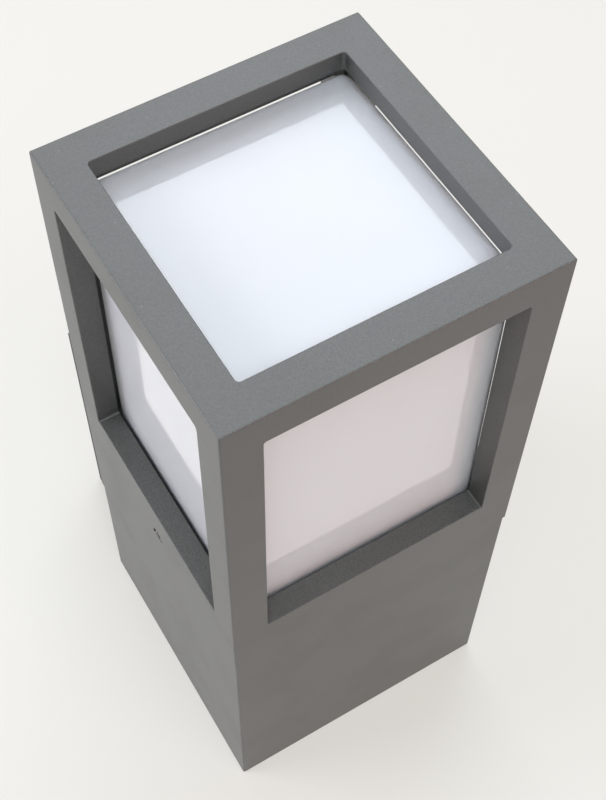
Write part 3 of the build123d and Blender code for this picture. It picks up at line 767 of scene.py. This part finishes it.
@dataclass
class Head:
    """Die-cast lantern frame: five windows, a cavity with draft, a stepped underside and two slots."""

    low: Vector = node_box("lantern_frame")[0]
    high: Vector = node_box("lantern_frame")[1]
    skirt_half: float = 46.8
    pocket: Ring = Ring.square(44.1, 6.1, 116.5)
    sill_under: float = 120.2
    cavity_half: float = 42.7
    cavity_corner: float = 2.0
    cavity_top: float = 234.6
    draft: float = math.tan(math.radians(0.3))
    top_window: Ring = Ring.square(38.8, 1.2, 0.0)
    side_window_half: float = 38.3
    side_window_corner: float = 0.9
    side_window_reach: tuple[float, float] = (123.7, 229.6)
    outer_round: float = 0.5
    window_round: float = 0.3
    foot_round: float = 0.5
    thin_corner: float = 0.05
    slot_radius: float = 1.7
    slot_seat: float = 47.9
    slot_recess_radius: float = 2.9
    slot_run: float = 4.0
    slot_flat: float = 0.001
    slot_past: float = 1.0

    def build(self) -> None:
        """Sweeps the casting's section round, opens the side windows and cuts the screw slots."""
        solid = Solid()
        solid.sweep(self.section())
        for normal in (RIGHT, BACK, LEFT, FRONT):
            self.open_window(solid, normal)
        cutters = [self.slot(normal) for normal in (RIGHT, LEFT)]
        stand_in(solid.finish("head_casting", cutters), "lantern_frame", "head", Finishes.ANTHRACITE)

    def section(self) -> list[Ring]:
        """Draws the casting's section.

        Returns:
            The rings from the skirt's foot over the outside and back down the cavity.
        """
        half, foot, top = self.high.x, self.low.z, self.high.z
        corner = self.outer_round + self.thin_corner
        skirt = Ring.square(self.skirt_half, self.thin_corner, foot)
        foot_edge = Ring.square(half, corner, foot).grown(-self.foot_round, self.foot_round)
        top_edge = Ring.square(half, corner, top).grown(-self.outer_round, -self.outer_round)
        rim = Ring.square(self.top_window.half_u, self.top_window.corner, top)
        rim_edge = rim.grown(self.window_round, -self.window_round)
        lean = (self.cavity_top - self.sill_under) * self.draft
        return [
            skirt,
            *rounded(foot_edge, self.foot_round, -90, 0),
            *rounded(top_edge, self.outer_round, 0, 90),
            *rounded(rim_edge, self.window_round, 90, 180, steps=3),
            Ring.square(rim.half_u, rim.corner, self.cavity_top),
            Ring.square(self.cavity_half - lean, self.cavity_corner, self.cavity_top),
            Ring.square(self.cavity_half, self.cavity_corner, self.sill_under),
            Ring.square(self.pocket.half_u, self.pocket.corner, self.sill_under),
            self.pocket,
            Ring.square(self.skirt_half, self.thin_corner, self.pocket.level),
            skirt,
        ]

    def open_window(self, solid: Solid, normal: Vector) -> None:
        """Opens one side window through the wall, with a rounded outer rim.

        Args:
            solid: the swept casting.
            normal: the side that the window looks to.
        """
        low, high = self.side_window_reach
        middle = (low + high) / 2
        inner_reach = self.cavity_half - (middle - self.sill_under) * self.draft
        tunnel = Ring(self.side_window_half, (high - low) / 2, self.side_window_corner, self.high.x)
        rim = tunnel.grown(self.window_round, -self.window_round)
        inner = Ring(tunnel.half_u, tunnel.half_v, tunnel.corner, inner_reach, self.draft)
        rings = [*rounded(rim, self.window_round, 90, 180, steps=3), inner]
        outer_loop, inner_loop = solid.sweep(rings, facing(normal, Vector((0, 0, middle))), segments=4)
        solid.pierce(normal, self.high.x, outer_loop)
        cavity_middle = self.cavity_half - (self.cavity_top - self.sill_under) / 2 * self.draft
        solid.pierce(normal, cavity_middle, inner_loop)

    def slot(self, normal: Vector) -> Solid:
        """Makes the stepped cutter of a set screw's slot, open at the casting's foot.

        Args:
            normal: the side that the slot is in.

        Returns:
            The cutter.
        """
        hole, recess, seat, run = self.slot_radius, self.slot_recess_radius, self.slot_seat, self.slot_run
        steps = ((hole, self.skirt_half - self.slot_past), (hole, seat), (recess, seat),
                 (recess, self.high.x + self.slot_past))
        rings = [Ring(radius + self.slot_flat, run + radius, radius, level) for radius, level in steps]
        screw_low, screw_high = node_box("set_screw_left")
        middle = Vector((0, 0, screw_low.lerp(screw_high, 0.5).z - run))
        cutter = Solid()
        cutter.block(rings, facing(normal, middle), segments=8)
        return cutter


@dataclass
class Diffuser:
    """Opal box inside the head, open below, with a flange that the retaining ring clamps."""

    low: Vector = node_box("diffuser")[0]
    high: Vector = node_box("diffuser")[1]
    half: float = 41.5
    corner: float = 3.5
    top_round: float = 1.0
    wall: float = 2.5
    inner_round: float = 0.3
    flange_height: float = 2.5
    draft: float = math.tan(math.radians(0.3))

    def build(self) -> None:
        """Sweeps the box from the middle of its inner top to the middle of its outer top."""
        solid = Solid()
        solid.block(self.section(), segments=8)
        stand_in(solid.finish("diffuser_box"), "diffuser", "head", Finishes.OPAL)

    def wall_ring(self, level: float, inset: float) -> Ring:
        """Returns a skin of the box at a level, at a depth below its outer face."""
        lean = (level - self.low.z) * self.draft
        return Ring.square(self.half - lean - inset, self.corner - lean - inset + self.draft, level)

    def section(self) -> list[Ring]:
        """Draws the box's section.

        Returns:
            The rings down the inside, round the flange and up the outside.
        """
        top, under = self.high.z, self.high.z - self.wall
        foot, shelf = self.low.z, self.low.z + self.flange_height
        overhang = self.high.x - self.half
        inner_top = self.wall_ring(under - self.inner_round, self.wall + self.inner_round)
        outer_top = self.wall_ring(top - self.top_round, self.top_round)
        return [
            *rounded(inner_top, self.inner_round, 90, 0, steps=2),
            self.wall_ring(foot, self.wall),
            self.wall_ring(foot, -overhang),
            self.wall_ring(shelf, -overhang),
            self.wall_ring(shelf, 0.0),
            *rounded(outer_top, self.top_round, 0, 90, steps=6),
        ]


# Base


@dataclass
class Base:
    """Die-cast base with its hollow arm: the frame's own shape, with its sharp outer edges eased."""

    high: Vector = node_box("base_body")[1]
    edge_round: float = 0.3
    flat_deg: float = 0.5
    sharp_deg: float = 60.0
    near: float = 0.01

    def build(self) -> None:
        """Merges a copy of the node's triangles into faces and rounds the outer edges."""
        solid = Solid()
        solid.mesh.from_mesh(frame["nodes"]["base_body"].data)
        bmesh.ops.scale(solid.mesh, vec=(1 / MM,) * 3, verts=solid.mesh.verts)
        bmesh.ops.remove_doubles(solid.mesh, verts=solid.mesh.verts, dist=MERGE_MM)
        bmesh.ops.dissolve_limit(solid.mesh, angle_limit=math.radians(self.flat_deg), verts=solid.mesh.verts,
                                 edges=solid.mesh.edges)
        outer = [edge for edge in solid.mesh.edges if self.is_outer(edge)]
        solid.round_edges(outer, self.edge_round, steps=2)
        stand_in(solid.finish("base_casting"), "base_body", "base", Finishes.ANTHRACITE)

    def is_outer(self, edge: bmesh.types.BMEdge) -> bool:
        """Finds the edges that are rounded.

        Args:
            edge: an edge of the base.

        Returns:
            Whether it is sharp, juts out and lies along the top of the base's or the arm's outside.
        """
        if len(edge.link_faces) != 2 or edge.calc_face_angle_signed() < math.radians(self.sharp_deg):
            return False
        places = [vert.co for vert in edge.verts]
        on_rim = all(abs(p.z - self.high.z) < self.near for p in places)
        return on_rim and all(max(abs(p.x), abs(p.y)) > self.high.x - self.near for p in places)


# Screws


class Drive(Enum):
    """Recess in a screw's head."""

    CROSS = "cross"
    HEX = "hex"


@dataclass(frozen=True)
class ScrewKind:
    """One size of screw: its node, how it stands and what its head looks like."""

    node: str
    body: str
    drive: Drive
    head_radius: float
    shank_radius: float
    head_height: float
    finish: Finish
    countersunk: bool = False
    axis: int = 2
    head_sign: int = 1


@dataclass
class ScrewSet:
    """All screws of one kind, set where the frame has them.

    Each share is a share of the head's or shank's radius, or of the head's height.
    """

    kind: ScrewKind
    faces: int = 32
    sunk_edge: float = 0.08
    sunk_rim: float = 0.2
    crown_flat_share: float = 0.62
    crown_drop_share: float = 0.55
    crown_step_deg: float = 15.0
    crown_steps: int = 6
    foot_edge: float = 0.1
    plain_end: float = 0.4
    tip_share: float = 0.7
    pitch_share: float = 0.36
    thread_share: float = 0.16
    least_turns: float = 3.0
    hex_share: float = 0.55
    hex_depth_share: float = 1.4
    blade_share: float = 0.62
    blade_foot_share: float = 0.55
    blade_depth_share: float = 0.75
    blade_rise_share: float = 0.5
    blade_thickness_share: float = 0.11
    blade_taper: float = 0.8
    blade_corner: float = 0.2

    def build(self) -> None:
        """Shapes one screw, cuts its recess, and sets a copy at each place."""
        boxes = solids_of(self.kind.node)
        low, high = boxes[0]
        length = (high - low)[self.kind.axis]
        solid = Solid()
        solid.turned(self.profile(length), self.thread(length), self.faces)
        one = solid.finish("one_screw", self.cutters())
        together = bmesh.new()
        for box in boxes:
            placed = set(together.verts)
            together.from_mesh(one.data)
            added = [vert for vert in together.verts if vert not in placed]
            bmesh.ops.transform(together, matrix=self.place(*box), verts=added)
        together.to_mesh(one.data)
        together.free()
        one.name = one.data.name = self.kind.node + "_cut"
        stand_in(one, self.kind.node, self.kind.body, self.kind.finish)

    def place(self, low: Vector, high: Vector) -> Matrix:
        """Turns and moves the shaped screw so that its head's top is at the end of a box.

        Args:
            low: the box's lowest corner.
            high: its highest corner.

        Returns:
            The matrix, in metres.
        """
        middle = (low + high) / 2
        axis = self.kind.axis
        sign = self.kind.head_sign if axis == 2 else math.copysign(1, middle[axis])
        middle[axis] = high[axis] if sign > 0 else low[axis]
        aim = Vector((0, 0, 0))
        aim[axis] = sign
        return Matrix.Translation(middle * MM) @ aim.to_track_quat("Z", "Y").to_matrix().to_4x4()

    def profile(self, length: float) -> Profile:
        """Draws the screw's outline.

        Args:
            length: the length from the head's top to the tip.

        Returns:
            The radii and heights from the middle of the head's top, at height 0, to the tip.
        """
        head, shank, depth = self.kind.head_radius, self.kind.shank_radius, self.kind.head_height
        if self.kind.countersunk:
            top = [(head - self.sunk_edge, 0.0), (head, -self.sunk_edge), (head, -self.sunk_rim)]
        else:
            flat, drop = self.crown_flat_share, depth * self.crown_drop_share
            angles = [math.radians(self.crown_step_deg * step) for step in range(self.crown_steps + 1)]
            top = [(head * (flat + (1 - flat) * math.sin(a)), -drop * (1 - math.cos(a))) for a in angles]
            top += [(head, -depth + self.foot_edge), (head - self.foot_edge, -depth)]
        thread = self.thread(length)
        shaft = [(shank, level) for level in reversed(thread.levels())] if thread else []
        tip = [(shank, -length + self.plain_end), (shank * self.tip_share, -length), (0.0, -length)]
        return [(0.0, 0.0), *top, (shank, -depth), *shaft, *tip]

    def thread(self, length: float) -> Thread | None:
        """Draws the shank's thread.

        Args:
            length: the length from the head's top to the tip.

        Returns:
            The thread, or None where the shank is too short to have one.
        """
        low, high = -length + self.plain_end, -self.kind.head_height - self.plain_end
        pitch = self.kind.shank_radius * self.pitch_share
        if high - low <= self.least_turns * pitch:
            return None
        return Thread(low, high, pitch, self.kind.shank_radius * self.thread_share)

    def cutters(self) -> list[Solid]:
        """Makes the solids that cut the drive's recess.

        Returns:
            One hexagon, or two crossed blades.
        """
        head, depth = self.kind.head_radius, self.kind.head_height
        if self.kind.drive is Drive.HEX:
            radius = head * self.hex_share
            hexagon = Solid()
            bmesh.ops.create_cone(hexagon.mesh, cap_ends=True, segments=6, radius1=radius, radius2=radius,
                                  depth=depth * self.hex_depth_share)
            return [hexagon]
        wide, thick = head * self.blade_share, head * self.blade_thickness_share
        corner = thick * self.blade_corner
        sunk, rise = depth * self.blade_depth_share, depth * self.blade_rise_share
        foot = Ring(wide * self.blade_foot_share, thick * self.blade_taper, corner, -sunk)
        mouth = Ring(wide, thick, corner, rise)
        blades = [Solid(), Solid()]
        for blade, turn in zip(blades, (0.0, QUARTER_TURN)):
            blade.block([foot, mouth], Matrix.Rotation(turn, 4, "Z"), segments=2)
        return blades


SCREW_KINDS = (
    ScrewKind("tray_screws", "base", Drive.CROSS, 3.5, 2.0, 2.45, Finishes.STAINLESS),
    ScrewKind("strap_screws", "base", Drive.CROSS, 2.5, 1.5, 1.75, Finishes.STAINLESS),
    ScrewKind("holder_screws", "base", Drive.CROSS, 2.5, 1.5, 1.75, Finishes.STAINLESS, head_sign=-1),
    ScrewKind("block_screws", "base", Drive.CROSS, 2.5, 1.5, 1.75, Finishes.STAINLESS),
    ScrewKind("earth_screw", "base", Drive.CROSS, 3.0, 2.0, 2.1, Finishes.STAINLESS),
    ScrewKind("arm_screws", "base", Drive.CROSS, 3.5, 2.0, 2.45, Finishes.STAINLESS, axis=0),
    ScrewKind("ring_screws", "head", Drive.CROSS, 2.2, 1.25, 1.5, Finishes.STAINLESS, countersunk=True,
              head_sign=-1),
    ScrewKind("set_screw_left", "screw_left", Drive.HEX, 2.5, 1.5, 1.75, Finishes.DARK_STEEL, axis=0),
    ScrewKind("set_screw_right", "screw_right", Drive.HEX, 2.5, 1.5, 1.75, Finishes.DARK_STEEL, axis=0),
)


# Lampholder and lamp


@dataclass
class Lampholder:
    """Porcelain lampholder with soft, glazed edges."""

    low: Vector = node_box("holder_body")[0]
    high: Vector = node_box("holder_body")[1]
    foot_height: float = 14.0
    barrel_radius: float = 19.0
    mouth_radius: float = 17.0
    mouth_depth: float = 5.0
    bore_radius: float = 13.95
    floor: float = 10.0
    edge_round: float = 0.8

    def build(self) -> None:
        """Turns the holder's outline and rounds its edges."""
        foot, top, shoulder = self.low.z, self.high.z, self.low.z + self.foot_height
        solid = Solid()
        solid.turned([
            (0.0, foot), (self.high.x, foot), (self.high.x, shoulder), (self.barrel_radius, shoulder),
            (self.barrel_radius, top), (self.mouth_radius, top), (self.mouth_radius, top - self.mouth_depth),
            (self.bore_radius, top - self.mouth_depth), (self.bore_radius, foot + self.floor),
            (0.0, foot + self.floor),
        ])
        solid.soften(self.edge_round, steps=3)
        stand_in(solid.finish("holder_glazed"), "holder_body", "base", Finishes.PORCELAIN)


@dataclass
class Lamp:
    """Tubular screw-in lamp: threaded cap, black insulator, ribbed body and opal tube."""

    cap: tuple[Vector, Vector] = node_box("lamp_cap")
    contact: tuple[Vector, Vector] = node_box("lamp_contact")
    body: tuple[Vector, Vector] = node_box("lamp_body")
    tube: tuple[Vector, Vector] = node_box("lamp_tube")
    contact_radius: float = 4.5
    contact_dome: Profile = ((0.5, 0.1), (0.85, 0.5), (1.0, 1.1))
    contact_faces: int = 32
    insulator_radius: float = 9.0
    insulator_foot: float = 86.0
    insulator_dome: Profile = ((0.55, 0.0), (0.8, 0.8), (0.95, 2.2))
    cone_top: float = 94.3
    cone_inset: float = 0.3
    thread: Thread = Thread(94.8, 108.6, 3.6, 0.9)
    thread_rows: int = 10
    faces: int = 96
    neck_radius: float = 14.0
    neck_top: float = 115.0
    ribs: int = 24
    rib_faces: int = 8
    rib_rows: int = 8
    rib_radius: float = 19.4
    rib_top: float = 132.0
    rib_slope: float = math.tan(math.radians(12.0))
    rib_depth: float = 0.7
    rib_fade: float = 6.0
    shoulder_round: float = 6.0
    tube_wall: float = 1.5

    def build(self) -> None:
        """Builds the lamp's five pieces, from its tip up."""
        self.build_contact()
        self.build_insulator()
        self.build_cap()
        self.build_body()
        self.build_tube()

    def build_contact(self) -> None:
        """Makes the solder-coloured centre contact with its domed tip."""
        tip, foot, radius = self.contact[0].z, self.insulator_foot, self.contact_radius
        dome = [(radius * share, tip + rise) for share, rise in self.contact_dome]
        solid = Solid()
        solid.turned([(0.0, tip), *dome, (radius, foot), (0.0, foot)], steps=self.contact_faces)
        stand_in(solid.finish("lamp_tip"), "lamp_contact", "lamp", Finishes.CAP_METAL)

    def build_insulator(self) -> None:
        """Makes the black glass between the centre contact and the cap."""
        foot, top, radius = self.insulator_foot, self.contact[1].z, self.insulator_radius
        dome = [(radius * share, foot + rise) for share, rise in self.insulator_dome]
        solid = Solid()
        solid.turned([(0.0, foot), *dome, (radius, top), (0.0, top)])
        stand_in(solid.finish("lamp_black_glass"), "lamp_contact", "lamp", Finishes.BLACK_GLASS)

    def build_cap(self) -> None:
        """Makes the rolled metal cap with its round thread."""
        low, high = self.cap
        levels = [(high.x, level) for level in self.thread.levels(self.thread_rows)]
        cone = [(0.0, low.z), (self.insulator_radius, low.z), (high.x - self.cone_inset, self.cone_top)]
        solid = Solid()
        solid.turned([*cone, *levels, (high.x, high.z), (0.0, high.z)], self.thread, self.faces)
        stand_in(solid.finish("lamp_thread"), "lamp_cap", "lamp", Finishes.CAP_METAL)

    def build_body(self) -> None:
        """Makes the tapered body with ribs, a smooth neck below and a collar above."""
        low, high = self.body
        height = self.rib_top - self.neck_top
        foot_radius = self.rib_radius - height * self.rib_slope
        neck = [(0.0, low.z), (self.neck_radius, low.z), (self.neck_radius, self.neck_top)]
        shares = [row / self.rib_rows for row in range(self.rib_rows + 1)]
        cone = [(foot_radius + (self.rib_radius - foot_radius) * share, self.neck_top + height * share)
                for share in shares]
        collar = [(high.x, self.rib_top), (high.x, high.z), (0.0, high.z)]
        solid = Solid()
        solid.turned([*neck, *cone, *collar], steps=self.ribs * self.rib_faces)
        for vert in solid.mesh.verts:
            share = (vert.co.z - self.neck_top) / height
            radius = vert.co.xy.length
            if 0.0 < share < 1.0 and radius > self.neck_radius:
                wave = 0.5 - 0.5 * math.cos(self.ribs * math.atan2(vert.co.y, vert.co.x))
                depth = self.rib_depth * min(1.0, self.rib_fade * share, self.rib_fade * (1 - share)) * wave
                vert.co.xy *= (radius - depth) / radius
        stand_in(solid.finish("lamp_ribbed_body"), "lamp_body", "lamp", Finishes.LAMP_PLASTIC)

    def build_tube(self) -> None:
        """Makes the opal tube with a rounded shoulder, open where it stands in the collar."""
        low, high = self.tube
        outer, inner = (self.skin(high, inset) for inset in (0.0, self.tube_wall))
        inner_rim, outer_rim = (high.x - self.tube_wall, low.z), (high.x, low.z)
        solid = Solid()
        solid.turned([inner_rim, outer_rim, *outer], steps=self.faces)
        solid.turned([inner_rim, *inner], steps=self.faces)
        stand_in(solid.finish("lamp_opal_tube"), "lamp_tube", "lamp", Finishes.LAMP_OPAL)

    def skin(self, high: Vector, inset: float, steps: int = 10) -> Profile:
        """Draws the tube's shoulder and top, at a depth below its outer face.

        Args:
            high: the tube's highest corner.
            inset: the depth.
            steps: how many faces go round the shoulder.

        Returns:
            The radii and heights, from the side to the middle.
        """
        bend = self.shoulder_round
        radius = bend - inset
        angles = [math.radians(90 * step / steps) for step in range(steps + 1)]
        arc = [(high.x - bend + radius * math.cos(a), high.z - bend + radius * math.sin(a)) for a in angles]
        return [*arc, (0.0, high.z - inset)]


# Wiring


@dataclass(frozen=True)
class Lead:
    """One insulated lead and the points that its middle line follows, in millimetres."""

    node: str
    route: tuple[Point, ...]
    finish: Finish
    radius: float = 1.1
    round_steps: int = 4
    length_steps: int = 10
    order: int = 3

    def build(self) -> None:
        """Draws the lead as a round tube along a smooth curve."""
        curve = bpy.data.curves.new(self.node + "_drawn", "CURVE")
        curve.dimensions = "3D"
        curve.bevel_depth = self.radius * MM
        curve.bevel_resolution = self.round_steps
        curve.resolution_u = self.length_steps
        curve.use_fill_caps = True
        line = curve.splines.new("NURBS")
        line.points.add(len(self.route) - 1)
        for point, place in zip(line.points, self.route):
            point.co = (*(Vector(place) * MM), 1.0)
        line.order_u = self.order
        line.use_endpoint_u = True
        made = bpy.data.objects.new(curve.name, curve)
        bpy.context.scene.collection.objects.link(made)
        stand_in(made, self.node, "base", self.finish)


def mirrored(route: tuple[Point, ...]) -> tuple[Point, ...]:
    """Returns a route on the other side of the light."""
    return tuple((-x, y, z) for x, y, z in route)


LIVE_ROUTE = ((9.0, 14.0, 73.0), (9.0, 14.0, 58.0), (12.0, 2.0, 48.0),
              (12.0, 2.0, 23.0), (12.0, 10.0, 11.0), (12.0, 27.1, 11.0))
EARTH_ROUTE = ((0.0, -9.8, 8.6), (0.0, -0.575, 8.6), (0.0, 8.65, 14.6),
               (0.0, 17.875, 11.0), (0.0, 27.1, 11.0))


@dataclass
class Grommet:
    """Rubber grommet in the base's rear wall, with rounded lips."""

    low: Vector = node_box("cable_grommet")[0]
    high: Vector = node_box("cable_grommet")[1]
    waist_radius: float = 8.95
    bore_radius: float = 4.0
    lip: float = 1.5
    edge_round: float = 0.5
    faces: int = 48

    def build(self) -> None:
        """Turns the grommet, rounds its lips and lays it along Y."""
        bore, waist, outer, lip = self.bore_radius, self.waist_radius, self.high.x, self.lip
        thick = self.high.y - self.low.y
        solid = Solid()
        solid.turned([(bore, 0.0), (outer, 0.0), (outer, lip), (waist, lip), (waist, thick - lip),
                      (outer, thick - lip), (outer, thick), (bore, thick), (bore, 0.0)], steps=self.faces)
        solid.soften(self.edge_round, steps=3)
        middle = Vector((0.0, self.low.y, (self.low.z + self.high.z) / 2))
        lay = Matrix.Translation(middle) @ Matrix.Rotation(-QUARTER_TURN, 4, "X")
        bmesh.ops.transform(solid.mesh, matrix=lay, verts=solid.mesh.verts)
        stand_in(solid.finish("grommet_rounded"), "cable_grommet", "base", Finishes.SILICONE)


# Studio


@dataclass(frozen=True)
class Softbox:
    """Square area light that faces a point."""

    name: str
    place: Point
    side: float
    power: float
    colour: Colour
    aim: Point = (0.0, 0.0, 0.2)

    def build(self) -> None:
        """Adds the light to the scene."""
        lamp = bpy.data.lights.new(self.name, "AREA")
        lamp.shape, lamp.size, lamp.energy, lamp.color = "SQUARE", self.side, self.power, self.colour
        holder = bpy.data.objects.new(self.name, lamp)
        holder.location = self.place
        holder.rotation_euler = (Vector(self.aim) - Vector(self.place)).to_track_quat("-Z", "Y").to_euler()
        bpy.context.scene.collection.objects.link(holder)


@dataclass
class Studio:
    """Plain pale floor, large soft lights, an even sky, and the camera at the photograph's angle."""

    camera_place: Point = (-0.11974, -0.19639, 0.51607)
    camera_turn_deg: Point = (32.706, 0.502, -30.286)
    lens_mm: float = 64.18
    sensor_mm: float = 36.0
    shift: tuple[float, float] = (0.0433, -0.0204)
    near_clip: float = 0.01
    floor_half: float = 4.0
    sky: Colour = (1.0, 0.9, 0.7)
    sky_strength: float = 0.19
    pale: Colour = (0.90, 0.87, 0.81)
    lift: float = 0.45
    lights: tuple[Softbox, ...] = (
        Softbox("top_softbox", (0.56, 0.92, 1.58), 1.45, 18.0, (0.83, 0.91, 1.0)),
        Softbox("over_fill", (-0.3, -0.9, 2.0), 1.2, 24.5, (0.84, 0.93, 1.0)),
        Softbox("left_fill", (-1.7, 0.9, 0.9), 1.2, 31.5, (0.88, 0.9, 1.0)),
        Softbox("front_fill", (0.95, -1.8, 0.55), 1.0, 11.0, (1.0, 0.66, 0.6)),
    )

    def build(self) -> None:
        """Makes the floor, the sky, the lights and the camera."""
        self.build_floor()
        self.build_sky()
        for light in self.lights:
            light.build()
        self.build_camera()
        bpy.context.scene.view_settings.view_transform = "Standard"

    def build_floor(self) -> None:
        """Lays the large pale floor under the light."""
        mesh = bmesh.new()
        bmesh.ops.create_grid(mesh, x_segments=2, y_segments=2, size=self.floor_half)
        data = bpy.data.meshes.new("studio_floor")
        mesh.to_mesh(data)
        mesh.free()
        floor = bpy.data.objects.new("studio_floor", data)
        bpy.context.scene.collection.objects.link(floor)
        dress(floor, Finishes.FLOOR)
        self.lift_floor(floor.active_material)

    def lift_floor(self, material: bpy.types.Material) -> None:
        """Lays some of the background's paleness over the floor, for what sees it and not as light.

        Args:
            material: the floor's material.
        """
        graph = Graph(material.node_tree, clear=False)
        shader = next(n for n in graph.tree.nodes if n.type == "BSDF_PRINCIPLED")
        output = next(n for n in graph.tree.nodes if n.type == "OUTPUT_MATERIAL")
        pale = graph.add("Emission", {"Color": (*self.pale, 1)})
        share = graph.math("MULTIPLY", self.seen(graph), self.lift)
        mixed = graph.add("MixShader", {0: share, 1: shader.outputs[0], 2: pale.outputs[0]})
        graph.tree.links.new(mixed.outputs[0], output.inputs["Surface"])

    def seen(self, graph: Graph) -> Socket:
        """Tells what sees a surface from the light that it gives.

        Args:
            graph: the graph that the nodes go into.

        Returns:
            1 for a ray from the camera, a gloss or clear plastic, and 0 for light.
        """
        path = graph.add("LightPath").outputs
        mirrored_ray = graph.math("MAXIMUM", path["Is Glossy Ray"], path["Is Transmission Ray"])
        return graph.math("MAXIMUM", path["Is Camera Ray"], mirrored_ray)

    def build_sky(self) -> None:
        """Makes an even fill light, with a pale background where the camera or a gloss sees it."""
        world = bpy.data.worlds.new("studio_sky")
        world.use_nodes = True
        graph = Graph(world.node_tree)
        fill = graph.add("Background", {"Color": (*self.sky, 1), "Strength": self.sky_strength})
        pale = graph.add("Background", {"Color": (*self.pale, 1), "Strength": 1.0})
        mixed = graph.add("MixShader", {0: self.seen(graph), 1: fill.outputs[0], 2: pale.outputs[0]})
        graph.add("OutputWorld", {"Surface": mixed.outputs[0]})
        bpy.context.scene.world = world

    def build_camera(self) -> None:
        """Sets the camera at the photograph's viewing angle."""
        data = bpy.data.cameras.new("photo_camera")
        data.lens, data.sensor_width = self.lens_mm, self.sensor_mm
        data.shift_x, data.shift_y = self.shift
        data.clip_start = self.near_clip
        camera = bpy.data.objects.new("photo_camera", data)
        camera.location = self.camera_place
        camera.rotation_euler = Euler([math.radians(a) for a in self.camera_turn_deg], "XYZ")
        bpy.context.scene.collection.objects.link(camera)
        bpy.context.scene.camera = camera


def dress_frame() -> None:
    """Gives every node of the frame the finish of its material slot."""
    for part in frame["record"]["subparts"]:
        dress(frame["nodes"][part["node"]], Finishes.by_slot(part["material_slot"]))
        log.info("%s has the finish %s", part["node"], part["material_slot"])


def main() -> None:
    """Builds the studio, dresses the frame and adds the remade pieces, in order."""
    logging.basicConfig(level=logging.INFO, format="%(message)s")
    Studio().build()
    dress_frame()
    Head().build()
    Diffuser().build()
    Base().build()
    for kind in SCREW_KINDS:
        ScrewSet(kind).build()
    Lampholder().build()
    Lamp().build()
    for node, route, finish in (("live_lead", LIVE_ROUTE, Finishes.BROWN),
                                ("neutral_lead", mirrored(LIVE_ROUTE), Finishes.BLUE),
                                ("earth_lead", EARTH_ROUTE, Finishes.GREEN)):
        Lead(node, route, finish).build()
    Grommet().build()


if __name__ == "__main__":
    main()
